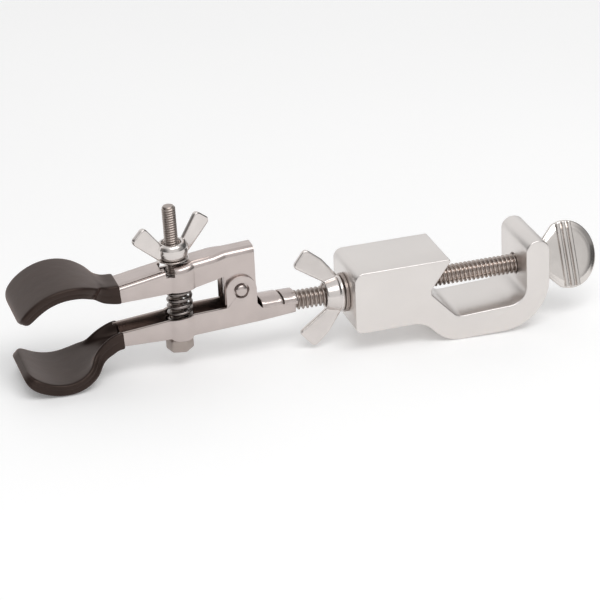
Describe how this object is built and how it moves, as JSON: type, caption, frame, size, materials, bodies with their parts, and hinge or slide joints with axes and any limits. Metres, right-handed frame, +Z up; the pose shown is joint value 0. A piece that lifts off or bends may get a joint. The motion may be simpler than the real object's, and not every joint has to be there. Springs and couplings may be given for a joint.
{
  "type": "boss head clamp",
  "caption": "Laboratory boss head with a V seat and thumb screw for a support rod, carrying a swivelling clamp whose two vinyl-dipped jaws are closed by a wing nut.",
  "frame": {"origin": "centre of a 12 mm support rod held in the V seat, on the common axis of the thumb screw and the swivel rod", "axes": "+X from the jaws to the thumb screw along the screw's axis, +Y across the clamp along the support rod, +Z up, from the bridge under the throat towards its open side"},
  "size_m": [0.1901, 0.0258, 0.0564],
  "materials": {
    "cast_head": "satin, bright",
    "bright_plate": "nickel plated, polished",
    "jaw_plate": "nickel plated pressed sheet",
    "dull_plate": "plated, dull between threads",
    "dark_wire": "dark spring wire",
    "black_vinyl": "glossy dipped vinyl"
  },
  "bodies": {
    "head": {"boss_head": "cast_head"},
    "screw": {"clamp_screw": "bright_plate"},
    "swivel": {"swivel_rod": "dull_plate", "lower_jaw": "jaw_plate", "lower_jaw_coating": "black_vinyl", "pivot_pin": "dull_plate", "adjusting_bolt": "dull_plate", "jaw_spring": "dark_wire"},
    "lock_nut": {"rod_washer": "bright_plate", "rod_wing_nut": "bright_plate"},
    "jaw": {"upper_jaw": "jaw_plate", "upper_jaw_coating": "black_vinyl"},
    "top_nut": {"jaw_washer": "bright_plate", "jaw_wing_nut": "bright_plate"}
  },
  "joints": [
    {"name": "screw_travel", "type": "slide", "parent": "head", "child": "screw", "axis": [1, 0, 0], "range_m": [0, 0.027]},
    {"name": "rod_swivel", "type": "hinge", "parent": "head", "child": "swivel", "pos_m": [-0.0323, 0, 0], "axis": [1, 0, 0], "continuous": true},
    {"name": "lock_nut_travel", "type": "slide", "parent": "swivel", "child": "lock_nut", "axis": [1, 0, 0], "range_m": [-0.0095, 0]},
    {"name": "jaw_pivot", "type": "hinge", "parent": "swivel", "child": "jaw", "pos_m": [-0.0669, 0, 0.0085], "axis": [0, 1, 0], "range_deg": [-6, 10], "deforming": ["jaw_spring"]},
    {"name": "top_nut_travel", "type": "slide", "parent": "swivel", "child": "top_nut", "axis": [0, 0, 1], "range_m": [-0.00175, 0.00295]}
  ],
  "couplings": [
    {"joint": "top_nut_travel", "follows": "jaw_pivot", "m_per_rad": 0.016616}
  ]
}
